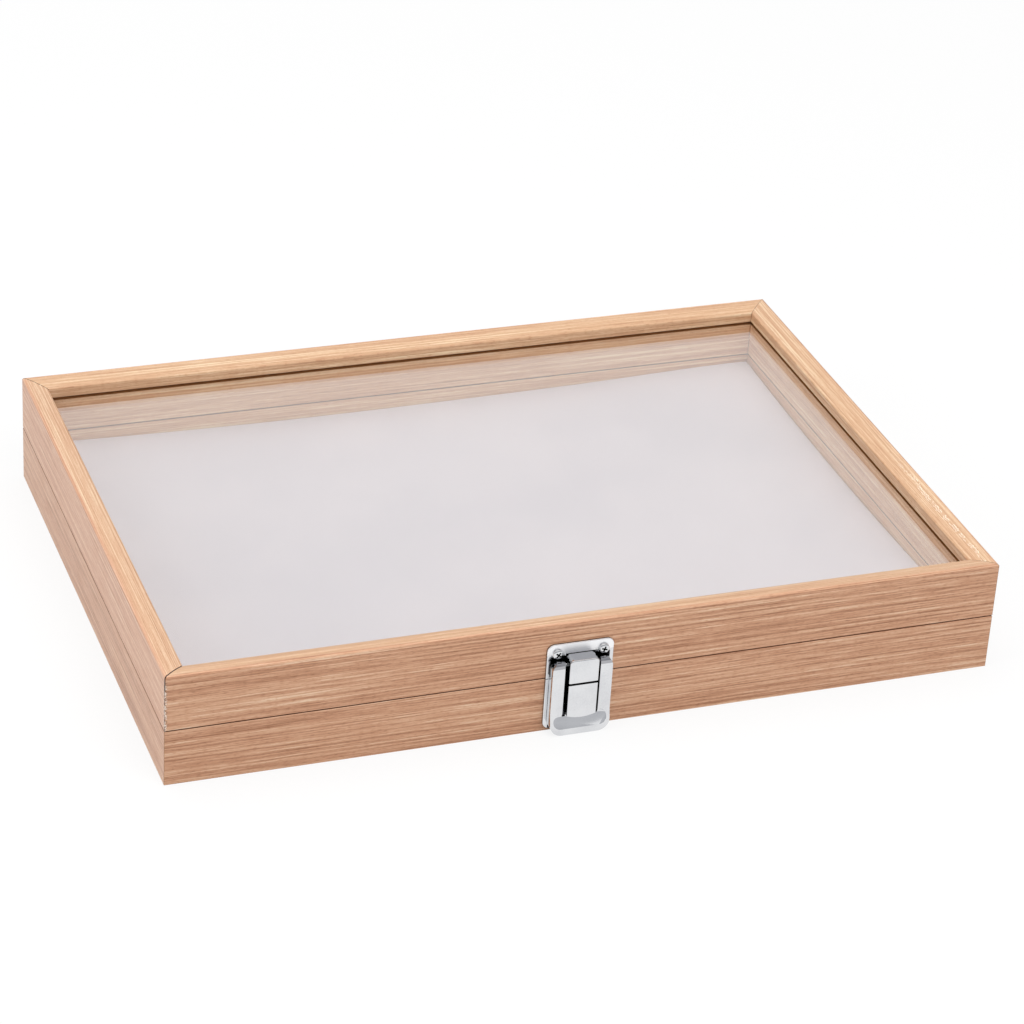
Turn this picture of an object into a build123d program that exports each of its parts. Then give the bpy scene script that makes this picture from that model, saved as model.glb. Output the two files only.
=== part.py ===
from build123d import *
import math
import os

# A shallow wooden display case for enamel pins: a tray with a soft pad, a glazed lid on two
# butt hinges at the back, and a snap hasp at the front. Millimetres. The origin is the middle
# of the underside, +X runs along the front, the front faces -Y and +Z is up.

cut_margin = 1.0            # how far a cut runs past the face that it opens
pick_margin = 0.1           # how near an edge lies to the place it is picked by

# ---------------------------------------------------------------- case
case_width = 350.0          # outside, along X
case_depth = 250.0          # outside, along Y
base_height = 24.4          # tray, from the table to the seam
lid_height = 24.4           # lid, from the seam to the top of its moulding
seam_gap = 0.2              # line between the tray and the closed lid
rail_width = 9.5            # wall of every rail, outside to inside
seam_edge_radius = 0.4      # eased outer edges at the seam

# Gap left between two rails at a mitre, by corner.
lid_mitre_gap = {"front_left": 0.14, "front_right": 0.04, "back_right": 0.04, "back_left": 0.14}
base_mitre_gap = {"front_left": 0.08, "front_right": 0.04, "back_right": 0.04, "back_left": 0.06}

# ---------------------------------------------------------------- lid moulding and glass
top_outer_radius = 1.0      # rounded outer top edge
top_inner_radius = 0.8      # rounded inner top edge
top_inner_flatness = 1.15   # radius of that edge's arc, as a share of the edge's size
top_fall = 1.7              # how much lower the inner top edge lies than the outer one
top_crown = 0.3             # bulge of the sloping top face
lip_depth = 6.4             # top of the moulding to the underside of the lip over the glass
groove_depth = 5.0          # glass groove, measured from the inner face into the wall
glass_thickness = 2.0
glass_play = 0.6            # groove height over and above the glass
glass_edge_clearance = 0.5  # glass edge to the bottom of its groove

# ---------------------------------------------------------------- tray floor and pad
panel_thickness = 3.0       # bottom board, flush with the underside
panel_seat = 4.5            # width of the rebate that holds the bottom board
panel_clearance = 0.3
board_thickness = 1.5       # stiff card under the foam
foam_thickness = 14.5
cover_thickness = 0.5       # flocked cloth over the foam
cover_edge_radius = 2.0
pad_clearance = 0.4         # pad to the rails

# ---------------------------------------------------------------- corner V-nails
nail_height = 9.0
nail_sheet = 0.5
nail_half_span = 3.0        # how far each leg reaches across the joint
nail_rise = 2.2             # depth of the V along the mitre
nail_from_corner = 5.2      # outside corner to the point of the V, along the mitre
nail_sink = 0.2             # below the surface that it was driven into

# ---------------------------------------------------------------- hinges
hinge_width = 26.0
hinge_leaf_height = 11.0    # pin axis to the far edge of a leaf
hinge_leaf_sheet = 1.0
hinge_leaf_corner = 1.5
hinge_inset = 66.0          # end of the case to the middle of a hinge
knuckle_radius = 1.8
knuckle_relief = 0.05       # knuckle to the back of the case
knuckle_gap = 0.25          # between neighbouring knuckles
middle_knuckle = 9.0        # length of the lid's knuckle
hinge_pin_radius = 0.75
hinge_pin_ease = 0.2
pin_clearance = 0.05        # radial running clearance of every pin
hinge_screw_spacing = 16.0
hinge_screw_height = 6.6    # pin axis to the screws

# ---------------------------------------------------------------- screws
screw_root_radius = 1.0
screw_tip = 1.2             # length of the point
screw_tip_radius = 0.15     # blunt end of the point
screw_length = 5.0          # under the head of a pan screw, or overall for a flush one
pan_head_radius = 2.3
pan_head_height = 1.3
pan_head_crown = 0.975      # radius of the rounded edge of the head
flush_head_radius = 1.9
cross_width = 0.6           # arm of the cross recess
cross_span = 2.4
cross_depth = 0.7

# ---------------------------------------------------------------- latch
latch_offset = -6.9         # middle of the latch, left of the middle of the case
plate_width = 28.0
plate_sheet = 0.9
plate_corner = 3.0
plate_rim_radius = 0.35
top_plate_height = 15.4     # seam to the top edge
keeper_plate_margin = 1.2   # table to the lower edge of the keeper plate
latch_screw_spacing = 19.3
top_screw_clearance = 0.2   # top of the flap's arms to the heads above them
keeper_screw_spacing = 16.0
keeper_screw_rise = 4.4     # lower edge of the keeper plate to its screws
housing_half_width = 6.1    # raised housing on the lid plate, and the tongue in line with it
housing_front = 6.6         # wood to the front of the housing and tongue
housing_height = 10.6       # seam to the top of the housing
housing_fall = 0.2          # slope of the housing's top
housing_corner = 1.6
housing_wall = 0.9
pressed_edge_radius = 0.5   # front edges of the housing and of the tongue
nib_half_width = 3.4        # raised nib on the keeper plate
nib_height = 5.0
nib_rise = 11.5             # lower edge of the keeper plate to the nib
nib_front = 3.0             # wood to the front of the nib
nib_ramp_below = 1.0        # height of the nib's lower slope
nib_ramp_above = 1.5        # height of its upper slope, which the tongue rides over

# ---------------------------------------------------------------- latch flap
flap_width = 25.2
flap_bottom = 0.3           # above the table
flap_front = 4.8            # wood to the face of the arms
flap_sheet = 1.0
flap_back_gap = 0.4         # side walls to the plates
flap_corner = 5.2
flap_shoulder = 4.2         # rounded outer top of each arm
arm_height = 10.0           # straight part of each arm below the pivot
window_half_width = 7.4
window_bottom = 8.2         # table to the lower end of the window
rim_front = 6.0             # wood to the face of the finger rim
rim_height = 2.9
dish_half_width = 11.2      # finger dish, pressed into the flap between its rim and its window
dish_front = 4.25           # wood to the deepest part of the dish, at the window
dish_rise = 1.6             # window's lower end to the upper end of the dish
dish_corner = 3.2
pivot_rise = 7.0            # seam to the flap's pivot
pivot_front = 3.0           # wood to the flap's pivot
arm_knuckle_radius = 1.7
arm_slope_start = 1.0       # pivot down to where the arm's face starts to slope back
arm_heel_reach = 2.14       # pivot to the arm's heel, which meets the lid plate at full swing
arm_heel_angle = 54.0       # direction of the heel, up from straight out
latch_pin_radius = 0.75
latch_pin_inset = 1.2       # end of the pin inside the outer face of its arm
tongue_gap = 0.9            # between the housing and the tongue
tongue_back = 2.0           # wood to the rear edge of the tongue's walls
tongue_sag = 1.1            # curve of the tongue's lower edge
tongue_root = 1.9           # height of the strip that joins the tongue to the flap
tongue_lap = 0.4            # strip below the end of the window, inside the flap

# ---------------------------------------------------------------- places that follow
seam_z = base_height + seam_gap / 2
lid_bottom = base_height + seam_gap
half_width = case_width / 2
half_depth = case_depth / 2
lip_underside = lid_height - lip_depth
groove_floor = lip_underside - glass_play - glass_thickness
glass_inset = rail_width - groove_depth + glass_edge_clearance
panel_inset = rail_width - panel_seat + panel_clearance
pad_inset = rail_width + pad_clearance
hinge_axis_out = knuckle_radius + knuckle_relief
hinge_x = half_width - hinge_inset
pivot_z = lid_bottom + pivot_rise
top_screw_z = pivot_z + arm_knuckle_radius + top_screw_clearance + pan_head_radius
keeper_screw_z = keeper_plate_margin + keeper_screw_rise
sides = ("front", "right", "back", "left")
corners = ("front_left", "front_right", "back_right", "back_left")

os.makedirs("parts", exist_ok=True)


def box(x0, x1, y0, y1, z0, z1):
    """Box between two corners."""
    return Pos((x0 + x1) / 2, (y0 + y1) / 2, (z0 + z1) / 2) * Box(x1 - x0, y1 - y0, z1 - z0)


def along_x(points, x0, x1):
    """Prism of an outline of (y, z) points between two places along X."""
    face = make_face(Plane.YZ * Polyline(*points, close=True))
    return Pos(x0, 0, 0) * extrude(face, amount=x1 - x0, dir=(1, 0, 0))


def rod_x(radius, x0, x1, y=0.0, z=0.0):
    """Cylinder along X."""
    return Pos((x0 + x1) / 2, y, z) * Rot(0, 90, 0) * Cylinder(radius, x1 - x0)


# ---------------------------------------------------------------- rails
def lid_section():
    """Lid rail, cut across: (distance in from the outer face, height above the seam)."""
    top = lid_height
    inner_top = top - top_fall
    shoulder = (top_outer_radius, top)
    brow = (rail_width - top_inner_radius, inner_top)
    middle = ((shoulder[0] + brow[0]) / 2, (shoulder[1] + brow[1]) / 2 + top_crown)
    nose = (rail_width, inner_top - top_inner_radius)
    slot = rail_width - groove_depth
    ease = seam_edge_radius
    edges = [
        Line((ease, 0), (rail_width, 0)),
        Line((rail_width, 0), (rail_width, groove_floor)),
        Line((rail_width, groove_floor), (slot, groove_floor)),
        Line((slot, groove_floor), (slot, lip_underside)),
        Line((slot, lip_underside), (rail_width, lip_underside)),
        Line((rail_width, lip_underside), nose),
        RadiusArc(nose, brow, -top_inner_radius * top_inner_flatness),
        ThreePointArc(brow, middle, shoulder),
        RadiusArc(shoulder, (0, top - top_outer_radius), -top_outer_radius),
        Line((0, top - top_outer_radius), (0, ease)),
        RadiusArc((0, ease), (ease, 0), -ease),
    ]
    return make_face(Curve() + edges)


def base_section():
    """Tray rail, cut across, with the rebate for the bottom board."""
    ease = seam_edge_radius
    seat = rail_width - panel_seat
    edges = [
        Line((0, 0), (seat, 0)),
        Line((seat, 0), (seat, panel_thickness)),
        Line((seat, panel_thickness), (rail_width, panel_thickness)),
        Line((rail_width, panel_thickness), (rail_width, base_height)),
        Line((rail_width, base_height), (ease, base_height)),
        RadiusArc((ease, base_height), (0, base_height - ease), -ease),
        Line((0, base_height - ease), (0, 0)),
    ]
    return make_face(Curve() + edges)


def mitred_rail(section, length, height, start_gap, end_gap):
    """Rail along X with its outer face on y = 0 and mitred ends, each short by half its gap."""
    across = Plane(origin=(-length / 2, 0, 0), x_dir=(0, 1, 0), z_dir=(1, 0, 0))
    bar = extrude(across * section, amount=length)
    start = -length / 2 + start_gap / math.sqrt(2)
    end = length / 2 - end_gap / math.sqrt(2)
    plan = [(start, 0), (end, 0), (end - rail_width, rail_width), (start + rail_width, rail_width)]
    return bar & extrude(make_face(Polyline(*plan, close=True)), amount=height)


def rail_frame(section, height, bottom, gaps):
    """Four mitred rails round the case, by side."""
    rails = {}
    for number, side in enumerate(sides):
        along_front = side in ("front", "back")
        length, reach = (case_width, half_depth) if along_front else (case_depth, half_width)
        start, end = gaps[corners[number]], gaps[corners[(number + 1) % len(corners)]]
        rail = mitred_rail(section, length, height, start, end)
        rails[side] = Pos(0, 0, bottom) * Rot(0, 0, 90 * number) * Pos(0, -reach, 0) * rail
    return rails


def corner_prisms(z0, height):
    """V-shaped prism across each mitre, from z0 up: the nails, or their pockets in the wood."""
    half = nail_sheet / 2
    legs = [(-nail_half_span, nail_rise + half), (-nail_half_span, nail_rise - half), (0, -half),
            (nail_half_span, nail_rise - half), (nail_half_span, nail_rise + half), (0, half)]
    prism = extrude(make_face(Polyline(*legs, close=True)), amount=height)
    places = [(-1, -1, -45), (1, -1, 45), (1, 1, 135), (-1, 1, 225)]
    reach = nail_from_corner / math.sqrt(2)
    return [Pos(sx * (half_width - reach), sy * (half_depth - reach), z0) * Rot(0, 0, turn) * prism
            for sx, sy, turn in places]


# ---------------------------------------------------------------- screws
def screw_shank(length):
    """Root of a wood screw below z = 0, with its point."""
    straight = length - screw_tip
    body = Pos(0, 0, -straight / 2) * Cylinder(screw_root_radius, straight)
    point = Cone(screw_tip_radius, screw_root_radius, screw_tip)
    return body + Pos(0, 0, -length + screw_tip / 2) * point


def screw_bore():
    """Hole for a screw's root through a sheet at z = 0."""
    return Cylinder(screw_root_radius, 2 * screw_length)


def cross_recess(top):
    """Cross recess, cut down from the top of a head."""
    arm = Pos(0, 0, top - cross_depth / 2) * Box(cross_span, cross_width, cross_depth)
    return arm + Rot(0, 0, 90) * arm


def pan_screw():
    """Pan-head wood screw whose head sits on z = 0."""
    head = Pos(0, 0, pan_head_height / 2) * Cylinder(pan_head_radius, pan_head_height)
    head = fillet(head.edges().sort_by(Axis.Z)[-1], pan_head_crown)
    return head + screw_shank(screw_length) - cross_recess(pan_head_height)


def flush_head():
    """Countersunk head whose top is z = 0."""
    depth = flush_head_radius - screw_root_radius
    return Pos(0, 0, -depth / 2) * Cone(screw_root_radius, flush_head_radius, depth)


def flush_screw():
    """Countersunk wood screw whose top is z = 0."""
    return flush_head() + screw_shank(screw_length) - cross_recess(0)


# ---------------------------------------------------------------- hinges
def hinge_leaf(upper):
    """Leaf with its knuckles, round an axis at the origin; the case is on the -Y side."""
    wood = -hinge_axis_out
    edge = hinge_width / 2
    sheet = box(-edge, edge, wood, wood + hinge_leaf_sheet, 0, hinge_leaf_height)
    far_corners = sheet.edges().filter_by(Axis.Y).group_by(Axis.Z)[-1]
    sheet = fillet(far_corners, hinge_leaf_corner)
    inner = middle_knuckle / 2
    middle = [(-inner, inner)]
    outer = [(-edge, -inner - knuckle_gap), (inner + knuckle_gap, edge)]
    own, others = (middle, outer) if upper else (outer, middle)
    clear = knuckle_radius + knuckle_gap
    for x0, x1 in others:
        sheet -= box(x0 - knuckle_gap, x1 + knuckle_gap, wood - cut_margin,
                     wood + hinge_leaf_sheet + cut_margin, -cut_margin, clear)
    leaf = sheet
    for x0, x1 in own:
        leaf += rod_x(knuckle_radius, x0, x1)
    leaf -= rod_x(hinge_pin_radius + pin_clearance, -edge, edge)
    for x in (-hinge_screw_spacing / 2, hinge_screw_spacing / 2):
        top = Pos(x, wood + hinge_leaf_sheet, hinge_screw_height) * Rot(-90, 0, 0)
        leaf -= top * (flush_head() + screw_bore())
    return leaf if upper else Rot(0, 180, 0) * leaf


def hinge_pin():
    """Pin as long as the hinge, with eased ends."""
    pin = rod_x(hinge_pin_radius, -hinge_width / 2, hinge_width / 2)
    return chamfer(pin.edges().filter_by(GeomType.CIRCLE), hinge_pin_ease)


# ---------------------------------------------------------------- latch, y = 0 on the wood
def plate(z0, z1, round_top):
    """Flat plate on the wood, with its two outer corners rounded and its rim eased."""
    edge = plate_width / 2
    sheet = box(-edge, edge, -plate_sheet, 0, z0, z1)
    rows = sheet.edges().filter_by(Axis.Y).group_by(Axis.Z)
    sheet = fillet(rows[-1] if round_top else rows[0], plate_corner)
    front = sheet.faces().sort_by(Axis.Y)[0].edges()
    return fillet(front, plate_rim_radius)


def latch_top_plate():
    """Lid plate with its raised housing, which carries the flap's pin."""
    top = lid_bottom + top_plate_height
    roof = lid_bottom + housing_height
    sheet = plate(lid_bottom, top, round_top=True)
    side = [(0, lid_bottom), (-housing_front, lid_bottom),
            (-housing_front, roof - housing_fall), (0, roof)]
    housing = along_x(side, -housing_half_width, housing_half_width)
    crown = housing.edges().filter_by(
        lambda e: e.center().Z > roof - housing_fall - pick_margin
        and abs(e.center().X) > housing_half_width - pick_margin)
    housing = fillet(crown, housing_corner)
    rim = housing.faces().sort_by(Axis.Y)[0].edges()
    rim = rim.filter_by(lambda e: e.center().Z > lid_bottom + pick_margin)
    housing = fillet(rim, pressed_edge_radius)
    below = lid_bottom - cut_margin
    inner_side = [(cut_margin, below), (housing_wall - housing_front, below),
                  (housing_wall - housing_front, roof - housing_fall - housing_wall),
                  (cut_margin, roof - housing_wall)]
    hollow = along_x(inner_side, housing_wall - housing_half_width,
                     housing_half_width - housing_wall)
    body = sheet + housing - hollow
    body -= rod_x(latch_pin_radius + pin_clearance, -plate_width, plate_width,
                  -pivot_front, pivot_z)
    for place in top_screw_places():
        body -= place * screw_bore()
    return body


def keeper_plate():
    """Tray plate with the nib that the flap's tongue snaps over."""
    sheet = plate(keeper_plate_margin, base_height, round_top=False)
    nib_z = keeper_plate_margin + nib_rise
    nib_top = nib_z + nib_height
    side = [(0, nib_z), (-nib_front, nib_z + nib_ramp_below),
            (-nib_front, nib_top - nib_ramp_above), (0, nib_top)]
    body = sheet + along_x(side, -nib_half_width, nib_half_width)
    for place in keeper_screw_places():
        body -= place * screw_bore()
    return body


def top_screw_places():
    """Heads of the lid plate's screws, on the plate and facing the front."""
    return [Pos(x, -plate_sheet, top_screw_z) * Rot(90, 0, 0)
            for x in (-latch_screw_spacing / 2, latch_screw_spacing / 2)]


def keeper_screw_places():
    """Heads of the keeper plate's screws, which the closed flap covers."""
    return [Pos(x, -plate_sheet, keeper_screw_z) * Rot(90, 0, 0)
            for x in (-keeper_screw_spacing / 2, keeper_screw_spacing / 2)]


def latch_flap():
    """Pressed flap: two arms on the pin, a finger rim below and a tongue in its window."""
    edge = flap_width / 2
    back = plate_sheet + flap_back_gap
    face_top = pivot_z - arm_slope_start
    lean = math.radians(arm_heel_angle)
    heel = (-pivot_front - arm_heel_reach * math.cos(lean),
            pivot_z + arm_heel_reach * math.sin(lean))
    rim_top = flap_bottom + rim_height
    dish_top = window_bottom + dish_rise
    side = [(-back, flap_bottom), (-rim_front, flap_bottom), (-rim_front, rim_top),
            (-flap_front, dish_top), (-flap_front, face_top), heel,
            (-pivot_front, pivot_z + arm_knuckle_radius), (-back, pivot_z)]
    body = along_x(side, -edge, edge)
    body += rod_x(arm_knuckle_radius, -edge, edge, -pivot_front, pivot_z)
    hollow_top = pivot_z - arm_knuckle_radius - flap_sheet
    below = flap_bottom - cut_margin
    hollow = [(cut_margin, below), (flap_sheet - rim_front, below),
              (flap_sheet - rim_front, rim_top), (flap_sheet - dish_front, window_bottom),
              (flap_sheet - flap_front, dish_top), (flap_sheet - flap_front, hollow_top),
              (cut_margin, hollow_top)]
    body -= along_x(hollow, flap_sheet - edge, edge - flap_sheet)
    outline = RectangleRounded(flap_width, pivot_z - flap_bottom, flap_corner)
    middle = (pivot_z + flap_bottom) / 2
    front_view = Plane.XZ * (Pos(0, middle) * outline)
    shoulders = Plane.XZ * (Pos(0, pivot_z - arm_height / 2) * RectangleRounded(
        flap_width, arm_height + 2 * arm_heel_reach, flap_shoulder))
    reach = rim_front + cut_margin
    body &= extrude(front_view, amount=reach) + extrude(shoulders, amount=reach)
    body -= finger_dish(rim_top, dish_top)
    body -= box(-window_half_width, window_half_width, -reach, cut_margin,
                window_bottom, pivot_z + arm_knuckle_radius + cut_margin)
    return body + tongue() - rod_x(latch_pin_radius + pin_clearance, -edge, edge,
                                   -pivot_front, pivot_z)


def finger_dish(rim_top, dish_top):
    """What the finger dish takes out of the flap's face between two heights."""
    air = rim_front + cut_margin
    side = [(-air, rim_top), (-rim_front, rim_top), (-dish_front, window_bottom),
            (-flap_front, dish_top), (-air, dish_top)]
    outline = RectangleRounded(2 * dish_half_width, dish_top - rim_top, dish_corner)
    front_view = Plane.XZ * (Pos(0, (dish_top + rim_top) / 2) * outline)
    return along_x(side, -dish_half_width, dish_half_width) & extrude(front_view, amount=air)


def tongue():
    """Raised tongue in the window, joined to the flap by a strip at its lower end."""
    edge = housing_half_width
    top = lid_bottom
    foot = window_bottom
    outline = [
        Line((-edge, foot + tongue_sag), (-edge, top)),
        Line((-edge, top), (edge, top)),
        Line((edge, top), (edge, foot + tongue_sag)),
        ThreePointArc((edge, foot + tongue_sag), (0, foot), (-edge, foot + tongue_sag)),
    ]
    front_view = Plane.XZ * make_face(Curve() + outline)
    shell = extrude(front_view, amount=housing_front)
    rim = shell.faces().sort_by(Axis.Y)[0].edges()
    shell = fillet(rim.filter_by(lambda e: e.center().Z < top - pick_margin),
                   pressed_edge_radius)
    wall = housing_wall
    shell -= box(wall - edge, edge - wall, wall - housing_front, cut_margin,
                 foot + tongue_sag + wall, top + cut_margin)
    shell -= box(-edge, edge, -tongue_back, cut_margin, foot - cut_margin, top + cut_margin)
    reach = math.hypot(housing_front - pivot_front, pivot_rise) + tongue_gap
    shell -= rod_x(reach, -edge - cut_margin, edge + cut_margin, -pivot_front, pivot_z)
    strip = box(-edge, edge, -dish_front, flap_sheet - dish_front,
                foot - tongue_lap, foot + tongue_root)
    return shell + strip


# ---------------------------------------------------------------- assembly
parts = {}
base_rails = rail_frame(base_section(), base_height, 0, base_mitre_gap)
lid_rails = rail_frame(lid_section(), lid_height, lid_bottom, lid_mitre_gap)

# V-nails, driven in from the seam before tray and lid were hung on each other.
pocket_height = nail_height + nail_sink
for name, rails, nail_z, pocket_z in (
        ("base", base_rails, base_height - pocket_height, base_height - pocket_height),
        ("lid", lid_rails, lid_bottom + nail_sink, lid_bottom)):
    for pocket in corner_prisms(pocket_z, pocket_height):
        for side in sides:
            rails[side] -= pocket
    parts[f"{name}_corner_nails"] = Compound(children=corner_prisms(nail_z, nail_height))

# Tray floor and pad.
panel_x, panel_y = half_width - panel_inset, half_depth - panel_inset
parts["bottom_panel"] = box(-panel_x, panel_x, -panel_y, panel_y, 0, panel_thickness)
pad_x, pad_y = half_width - pad_inset, half_depth - pad_inset
foam_x, foam_y = pad_x - cover_thickness, pad_y - cover_thickness
foam_bottom = panel_thickness + board_thickness
foam_top = foam_bottom + foam_thickness
pad_top = foam_top + cover_thickness
parts["pad_board"] = box(-foam_x, foam_x, -foam_y, foam_y, panel_thickness, foam_bottom)
foam = box(-foam_x, foam_x, -foam_y, foam_y, foam_bottom, foam_top)
parts["foam_pad"] = fillet(foam.faces().sort_by(Axis.Z)[-1].edges(),
                           cover_edge_radius - cover_thickness)
cover = box(-pad_x, pad_x, -pad_y, pad_y, panel_thickness, pad_top)
cover = fillet(cover.faces().sort_by(Axis.Z)[-1].edges(), cover_edge_radius)
parts["pad_cover"] = cover - parts["foam_pad"] - parts["pad_board"]

# Glass, lying on the floor of its groove.
glass_x, glass_y = half_width - glass_inset, half_depth - glass_inset
glass_bottom = lid_bottom + groove_floor
parts["lid_glass"] = box(-glass_x, glass_x, -glass_y, glass_y,
                         glass_bottom, glass_bottom + glass_thickness)

# Hinges on the back, one each side of the middle.
lid_hinge_screws, base_hinge_screws = [], []
for name, x in (("left", -hinge_x), ("right", hinge_x)):
    place = Pos(x, half_depth + hinge_axis_out, seam_z)
    parts[f"{name}_hinge_lid_leaf"] = place * hinge_leaf(upper=True)
    parts[f"{name}_hinge_base_leaf"] = place * hinge_leaf(upper=False)
    parts[f"{name}_hinge_pin"] = place * hinge_pin()
    for dx in (-hinge_screw_spacing / 2, hinge_screw_spacing / 2):
        for rise, group, rails in ((hinge_screw_height, lid_hinge_screws, lid_rails),
                                   (-hinge_screw_height, base_hinge_screws, base_rails)):
            spot = Pos(x + dx, half_depth + hinge_leaf_sheet, seam_z + rise) * Rot(-90, 0, 0)
            screw = spot * flush_screw()
            rails["back"] -= screw
            group.append(screw)
parts["hinge_lid_screws"] = Compound(children=lid_hinge_screws)
parts["hinge_base_screws"] = Compound(children=base_hinge_screws)

# Latch on the front.
latch = Pos(latch_offset, -half_depth, 0)
parts["latch_top_plate"] = latch * latch_top_plate()
parts["latch_keeper_plate"] = latch * keeper_plate()
parts["latch_flap"] = latch * latch_flap()
pin_reach = flap_width / 2 - latch_pin_inset
parts["latch_pin"] = latch * rod_x(latch_pin_radius, -pin_reach, pin_reach,
                                   -pivot_front, pivot_z)
for node, places, rails in (("latch_top_screws", top_screw_places(), lid_rails),
                            ("latch_keeper_screws", keeper_screw_places(), base_rails)):
    screws = [latch * place * pan_screw() for place in places]
    for screw in screws:
        rails["front"] -= screw
    parts[node] = Compound(children=screws)

for side in sides:
    parts[f"base_{side}_rail"] = base_rails[side]
    parts[f"lid_{side}_rail"] = lid_rails[side]

for node, shape in parts.items():
    export_step(shape, f"parts/{node}.step")
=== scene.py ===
"""Looks of a glazed wooden display case for enamel pins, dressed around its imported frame.

The case is a foil-wrapped tray with a soft pale pad, a glazed lid on two butt hinges and a
plated snap hasp at the front. Every length is in metres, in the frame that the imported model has.
"""

from __future__ import annotations

import logging
import math
from abc import ABC, abstractmethod
from dataclasses import dataclass, replace
from enum import Enum
from functools import partialmethod
from typing import Any, Iterable, Mapping

import bmesh
import bpy
import numpy as np
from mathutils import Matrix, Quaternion, Vector


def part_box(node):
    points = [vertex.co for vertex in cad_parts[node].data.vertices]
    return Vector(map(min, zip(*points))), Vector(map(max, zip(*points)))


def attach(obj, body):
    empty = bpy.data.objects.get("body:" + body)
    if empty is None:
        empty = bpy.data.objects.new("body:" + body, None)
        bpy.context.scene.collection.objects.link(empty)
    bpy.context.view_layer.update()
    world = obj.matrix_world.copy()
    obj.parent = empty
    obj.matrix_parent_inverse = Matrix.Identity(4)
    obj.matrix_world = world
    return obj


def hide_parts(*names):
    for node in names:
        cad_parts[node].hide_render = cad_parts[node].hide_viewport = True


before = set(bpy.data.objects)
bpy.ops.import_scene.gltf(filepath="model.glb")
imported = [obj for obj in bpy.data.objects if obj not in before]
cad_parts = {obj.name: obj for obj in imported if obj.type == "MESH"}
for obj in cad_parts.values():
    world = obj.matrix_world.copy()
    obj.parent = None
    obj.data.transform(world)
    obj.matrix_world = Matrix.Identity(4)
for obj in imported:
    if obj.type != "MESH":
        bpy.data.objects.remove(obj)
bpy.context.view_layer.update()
LOG = logging.getLogger("display_case")

MM = 0.001
Socket = bpy.types.NodeSocket
# Boxes on a piece: nearest and farthest from its middle along X, front-most Y, least and most Z.
Places = tuple[tuple[float, ...], ...]


def srgb(red: int, green: int, blue: int) -> tuple[float, float, float, float]:
    """Linear colour of an 8-bit display colour.

    Args:
        red: Red, 0 to 255.
        green: Green, 0 to 255.
        blue: Blue, 0 to 255.

    Returns:
        The linear colour with an alpha of 1.
    """
    linear = []
    for value in (red, green, blue):
        share = value / 255
        linear.append(share / 12.92 if share <= 0.04045 else ((share + 0.055) / 1.055) ** 2.4)
    return (*linear, 1.0)


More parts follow.
